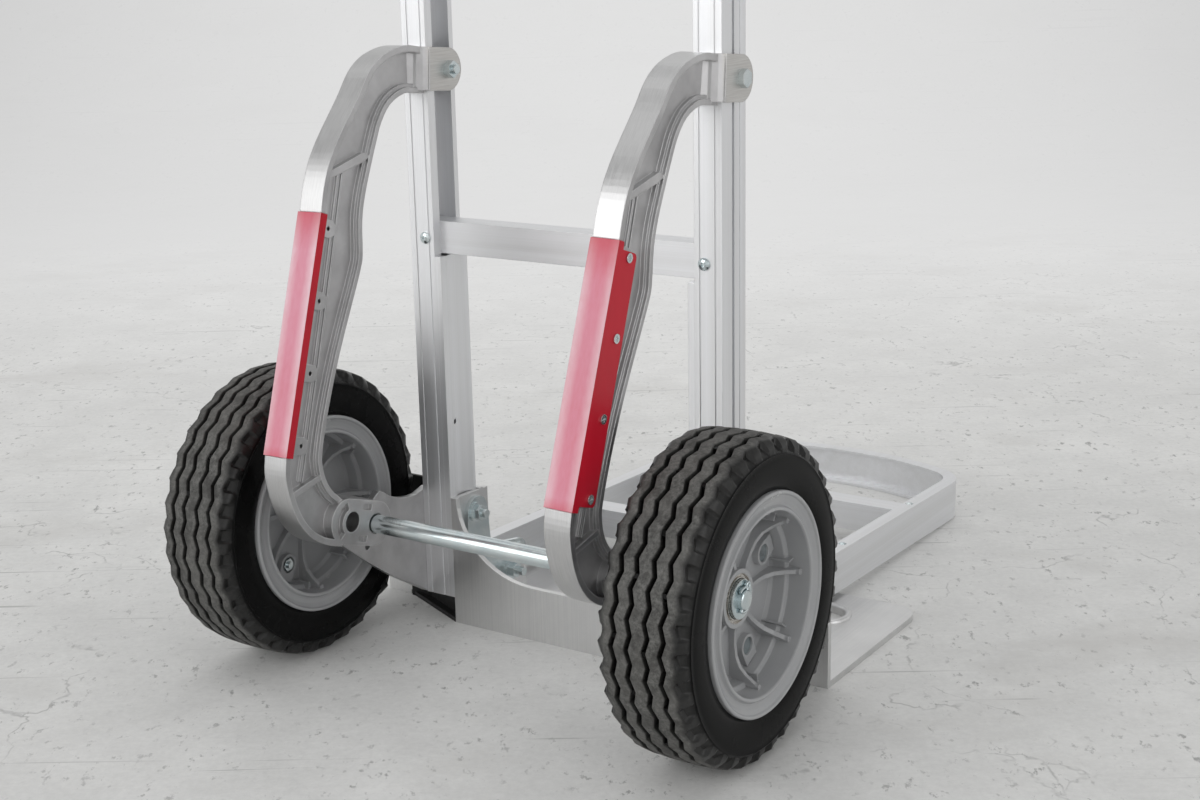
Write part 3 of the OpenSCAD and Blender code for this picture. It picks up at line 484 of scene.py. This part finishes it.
MM = 0.001
TEETH = 36  # zigzags round a tyre
PERIOD = 360.0 / TEETH
STEPS = 20  # cross-sections in each zigzag
TREAD_R = 127.0
CROWN = 0.0016  # the tread's fall is this times its distance from the middle, squared
GROOVES = ((-20.2, 16.2), (-7.2, 35.6), (7.2, 20.5), (20.2, 0.4))  # middle, first bridge's angle
GROOVE_SWAY = 1.7
GROOVE_HALF = 2.0
GROOVE_DEPTH = 6.2
GROOVE_SLOPE = 0.45  # how much narrower each side is at the bottom
LIP = (0.6, 0.5)  # the rounding of a groove's edge: across, down
RIB_HALF = 6.5  # between the middles of a groove and of the rib beside it
BRIDGE_DEPTH = 1.3
BRIDGE_EVERY = 40.0
BRIDGE = (1.0, 0.35)  # half its length, and its soft ends
SHOULDER = 30.6  # the tread's edge
SHOULDER_SWAY = 1.6
NOTCH = (2.3, 0.45)
NOTCH_AT = {1: 1.5, -1: 6.5}  # by side: the angle of the first notch
SIDEWALL = (
    (27.0, 78.0), (30.1, 80.6), (33.2, 84.0), (34.6, 86.6), (35.6, 88.6), (36.5, 91.5),
    (37.2, 97.0), (37.3, 104.0), (37.1, 109.5), (36.7, 112.6), (37.0, 113.4), (36.5, 114.2),
)  # (across, radius) from the bead up to the lugs
SHARP_FROM = math.radians(38)


def near(angle, middle, every, half, soft):
    """1 within half degrees of middle + k * every, and 0 beyond half + soft."""
    off = np.abs((angle - middle + every / 2) % every - every / 2)
    return np.clip((half + soft - off) / soft, 0.0, 1.0)


def crown(across):
    """The tread's radius."""
    return TREAD_R - CROWN * across**2


def wall_stations(side, angle, zigzag):
    """(across, radius, wear) from the bead to the tread's edge, with notches between the lugs."""
    edge = SHOULDER + side * SHOULDER_SWAY * zigzag
    notch = near(angle, NOTCH_AT[side], PERIOD, *NOTCH)
    return [(across, radius, 0.0) for across, radius in SIDEWALL] + [
        (36.2 - 0.5 * notch, 115.2, 0.06),
        (35.8 - 2.6 * notch, 118.6 - 1.0 * notch, 0.12),
        (edge + 2.6 - 2.4 * notch, 122.6 - 2.6 * notch, 0.15),
        (edge + 0.5 - 0.3 * notch, crown(edge) - 1.2, 0.15),
        (edge - 0.7, crown(edge) - 0.2, 0.3),
    ]


def groove_stations(middle, bridge, angle, zigzag):
    """(across, radius, wear) over one zigzag groove, with the bridges that cross it."""
    line = middle + GROOVE_SWAY * zigzag
    bridged = near(angle, bridge, BRIDGE_EVERY, *BRIDGE)
    depth = GROOVE_DEPTH - (GROOVE_DEPTH - BRIDGE_DEPTH) * bridged
    half = [
        (RIB_HALF, crown(line - RIB_HALF), crown(line + RIB_HALF), 1.0),
        (GROOVE_HALF + LIP[0], crown(line), crown(line), 1.0),
        (GROOVE_HALF, crown(line) - LIP[1], crown(line) - LIP[1], 0.6),
        (GROOVE_HALF - GROOVE_SLOPE, crown(line) - depth, crown(line) - depth, 0.0),
    ]
    left = [(line - off, radius, wear) for off, radius, _, wear in half]
    right = [(line + off, radius, wear) for off, _, radius, wear in reversed(half)]
    return left + right


def tyre_sections():
    """Points round the tyre: [angle, station, (across, radius)], and each station's wear."""
    angle = np.arange(TEETH * STEPS) * PERIOD / STEPS
    zigzag = 1.0 - np.abs((angle / PERIOD) % 1.0 - 0.5) * 4.0
    stations = [
        (-across, radius, wear) for across, radius, wear in wall_stations(-1, angle, zigzag)
    ]
    for middle, bridge in GROOVES:
        stations += groove_stations(middle, bridge, angle, zigzag)
    stations += reversed(wall_stations(1, angle, zigzag))
    everywhere = np.zeros_like(angle)
    points = np.stack(
        [np.stack([across + everywhere, radius + everywhere], axis=1)
         for across, radius, _ in stations],
        axis=1,
    )
    return np.radians(angle), points, np.array([wear for _, _, wear in stations])


def add_mesh(name, vertices, faces, material):
    """A smooth-shaded object in the scene."""
    mesh = bpy.data.meshes.new(name)
    mesh.from_pydata(vertices, [], faces)
    mesh.polygons.foreach_set("use_smooth", [True] * len(faces))
    mesh.materials.append(material)
    obj = bpy.data.objects.new(name, mesh)
    bpy.context.scene.collection.objects.link(obj)
    return obj


def make_tyre(side, rubber):
    """The treaded tyre of one wheel: side is 1 on the right and -1 on the left."""
    name = "right" if side > 0 else "left"
    hub = centre("tyre_" + name)
    angle, points, wear = tyre_sections()
    rings, count = points.shape[:2]
    across = hub.x + side * points[:, :, 0] * MM
    along = hub.y + side * points[:, :, 1] * MM * np.cos(angle)[:, None]
    height = hub.z + points[:, :, 1] * MM * np.sin(angle)[:, None]
    vertices = np.stack([across, along, height], axis=2).reshape(-1, 3)
    ring, station = np.meshgrid(np.arange(rings), np.arange(count), indexing="ij")
    next_ring, next_station = (ring + 1) % rings, (station + 1) % count
    square = (
        ring * count + station, ring * count + next_station,
        next_ring * count + next_station, next_ring * count + station,
    )
    faces = np.stack(square, axis=2).reshape(-1, 4)
    tyre = add_mesh("tread_" + name, vertices.tolist(), faces.tolist(), rubber)
    wear_values = tyre.data.attributes.new("wear", "FLOAT", "POINT")
    wear_values.data.foreach_set("value", np.tile(wear, rings))
    tyre.data.set_sharp_from_angle(angle=SHARP_FROM)
    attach(tyre, "wheel_" + name)
    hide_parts("tyre_" + name)


# ---------- Floor and backdrop ----------

FLOOR_TONE = 0.74
WALL_TONE = 0.76
FLOOR_TINT = (1.0, 1.0, 0.985)
SCRATCHES = ((1.0, 110.0, 2.2), (-0.8, 130.0, 2.8), (2.3, 95.0, 1.8))  # turn, density, stretch
FLOOR_HALF = 7.0
FLOOR_NEAR = -5.0
WALL_AT = 4.5
WALL_TOP = 6.0
BEND_R = 2.0  # between floor and wall
BEND_STEPS = 16
PLAIN_FROM, PLAIN_TO = 0.5, 2.2  # the distance ahead over which the glow loses the floor's marks
GLOW_FROM, GLOW_TO = -0.4, 2.0  # and over which it takes over from the lit floor


def concrete(tree):
    """The floor's paint, with pits, stains, scratches and cracks, and its plain shade."""
    cloud = noise(tree, 1.8, detail=6.0, rough=0.6)
    blotch = noise(tree, 14.0, detail=6.0, rough=0.65)
    speck = noise(tree, 150.0, detail=5.0, rough=0.75)
    shade = weigh(tree, (cloud, 0.35), (blotch, 0.3), (speck, 0.35))
    low, high = grey(0.90, FLOOR_TINT), grey(1.08, FLOOR_TINT)
    paint = mix(tree, remap(tree, shade, 0.40, 0.60), low, high)
    pits = noise(tree, 95.0, (1.0, 0.6, 1.0), detail=6.0, rough=0.7)
    pitted = remap(tree, pits, 0.58, 0.64, 0, 0.8)
    pitted = times(tree, pitted, remap(tree, blotch, 0.40, 0.58, 0.1, 1))
    paint = mix(tree, pitted, paint, grey(0.42, FLOOR_TINT))
    stain = noise(tree, 3.2, (1.0, 1.6, 1.0), detail=7.0, rough=0.65, turn=(0, 0, 0.4))
    stained = remap(tree, stain, 0.54, 0.70, 0, 0.55)
    paint = mix(tree, stained, paint, grey(0.80, (1.0, 0.985, 0.955)))
    for turn, density, stretch in SCRATCHES:
        line = noise(tree, 1.0, (stretch, density, 1.0), detail=2.0, turn=(0, 0, turn))
        breaks = noise(tree, 5.0, detail=4.0, turn=(0, 0, turn))
        broken = remap(tree, breaks, 0.50, 0.60, 0, 0.7)
        scratch = times(tree, remap(tree, line, 0.67, 0.72), broken)
        paint = mix(tree, scratch, paint, grey(0.55, FLOOR_TINT))
    sway = add(tree, "TexNoise", {"Vector": place(tree), "Scale": 2.6, "Detail": 6.0})
    links = {0: place(tree, turn=(0, 0, 0.6)), 1: sway.outputs["Color"]}
    bent = add(tree, "VectorMath", links, operation="ADD").outputs["Vector"]
    cells = add(tree, "TexVoronoi", {"Vector": bent, "Scale": 1.3}, feature="DISTANCE_TO_EDGE")
    crack = remap(tree, cells.outputs["Distance"], 0.0, 0.0040, 0.7, 0)
    crack = times(tree, crack, remap(tree, blotch, 0.47, 0.58))
    return mix(tree, crack, paint, grey(0.50, FLOOR_TINT)), shade


def pale_floor(name):
    """Pale concrete whose far part is seen, and reflected, at its own plain tone."""
    material, tree, bsdf = start(name, Specular_IOR_Level=0.3)
    across, ahead, _ = position(tree)
    paint, shade = concrete(tree)
    links = {0: paint, 1: (FLOOR_TONE,) * 3}
    toned = add(tree, "VectorMath", links, operation="MULTIPLY").outputs["Vector"]
    give(tree, bsdf, Base_Color=toned, Roughness=remap(tree, shade, 0.40, 0.60, 0.42, 0.60))
    bump(tree, bsdf, shade, 0.002, 0.25)
    # painted light: the glow is painted darker towards the sides, a painted fall-off of the
    # backdrop's light
    darker = calc(tree, "MINIMUM", times(tree, times(tree, across, across), 0.035), 0.2)
    plain = mix(tree, remap(tree, ahead, PLAIN_FROM, PLAIN_TO, 0, 0.92), paint, grey(1.0))
    glow = add(tree, "Emission", {"Color": plain, "Strength": minus(tree, WALL_TONE, darker)})
    path = add(tree, "LightPath").outputs
    seen = calc(tree, "MAXIMUM", path["Is Camera Ray"], path["Is Glossy Ray"])
    seen = calc(tree, "MAXIMUM", seen, path["Is Transmission Ray"])
    fade = times(tree, seen, remap(tree, ahead, GLOW_FROM, GLOW_TO, 0, 0.97, smooth=True))
    surface = add(tree, "MixShader", {0: fade, 1: bsdf.outputs[0], 2: glow.outputs[0]})
    tree.links.new(surface.outputs[0], tree.nodes["Material Output"].inputs["Surface"])
    return material


def make_stage():
    """A floor that curves up into a wall behind the truck, square to the camera's heading."""
    profile = [(FLOOR_NEAR, 0.0), (0.0, 0.0), (WALL_AT - BEND_R, 0.0)]
    for step in range(1, BEND_STEPS + 1):
        turn = math.radians(90 * step / BEND_STEPS)
        across = WALL_AT - BEND_R + BEND_R * math.sin(turn)
        profile.append((across, BEND_R - BEND_R * math.cos(turn)))
    profile.append((WALL_AT, WALL_TOP))
    vertices = [(x, y, z) for y, z in profile for x in (-FLOOR_HALF, FLOOR_HALF)]
    faces = [(2 * i, 2 * i + 1, 2 * i + 3, 2 * i + 2) for i in range(len(profile) - 1)]
    floor = add_mesh("floor", vertices, faces, pale_floor("pale_floor"))
    floor.rotation_euler = (0, 0, CAMERA_HEADING)


# ---------- Light ----------

LAMPS = (  # name, position, target, size, watts
    ("overhead", (-0.4, 0.2, 3.4), (0, 0, 0.3), (4.0, 4.0), 30),
    ("key", (-1.4, -3.8, 2.0), (0, 0, 0.3), (4.2, 2.6), 62),
    ("fill", (2.6, -0.7, 1.2), (0, 0, 0.2), (1.2, 1.8), 8),
)
WORLD_LOW, WORLD_HIGH = 0.80, 0.36  # strength near the horizon and overhead


def make_lamp(name, position, target, size, power):
    data = bpy.data.lights.new(name, "AREA")
    data.shape = "RECTANGLE"
    data.size, data.size_y = size
    data.energy = power
    lamp = bpy.data.objects.new(name, data)
    bpy.context.scene.collection.objects.link(lamp)
    lamp.location = position
    aim = Vector(target) - Vector(position)
    lamp.rotation_euler = aim.to_track_quat("-Z", "Y").to_euler()


def make_light():
    """A pale surround, darker overhead, with three large soft lamps."""
    world = bpy.data.worlds.new("studio")
    bpy.context.scene.world = world
    world.use_nodes = True
    tree = world.node_tree
    _, _, upward = split(tree, add(tree, "TexCoord").outputs["Generated"])
    tone = remap(tree, upward, 0.1, 0.9, WORLD_LOW, WORLD_HIGH, smooth=True)
    give(tree, tree.nodes["Background"], Strength=tone, Color=grey(1.0))
    for lamp in LAMPS:
        make_lamp(*lamp)


# ---------- Scene ----------

CROSSBARS = ("crossbar_lower", "crossbar_middle", "crossbar_upper")
FASTENERS = (
    "cotter", "hinge", "pivot", "arm_bolts", "arm_nuts", "bracket_", "crossbar_screws",
    "handle_screws", "wear_strip_screws", "extension_rivets", "rim_bolts", "rim_nuts",
)

make_camera()

dress(extruded("rail_aluminium", "z"), "rail_left", "rail_right", "rail_insert")
dress(extruded("crossbar_aluminium", "x", 0.82), *CROSSBARS, "extension_slat")
dress(extruded("extension_aluminium", "y", 0.82), "extension_frame")
dress(extruded("handle_aluminium", "z"), "handle_loop")
dress(cast("arm_casting"), "climber_arm", "wheel_bracket")
dress(brushed("nose_casting"), "nose_plate")
dress(zinc("zinc_plate"), *FASTENERS)
dress(zinc("axle_zinc", 0.22), "axle")
dress(bearing_steel("bearing_steel"), "bearings")
dress(red_plastic("red_plastic"), "wear_strip_left", "wear_strip_right")
dress(rim_plastic("rim_plastic"), "rim_outer", "rim_inner")
dress(black_rubber("black_rubber"), "rail_foot", "handle_grip")
tread_rubber = tyre_rubber("tyre_rubber")
for side in (-1, 1):
    make_tyre(side, tread_rubber)

make_stage()
make_light()
bpy.context.scene.view_settings.view_transform = "Standard"
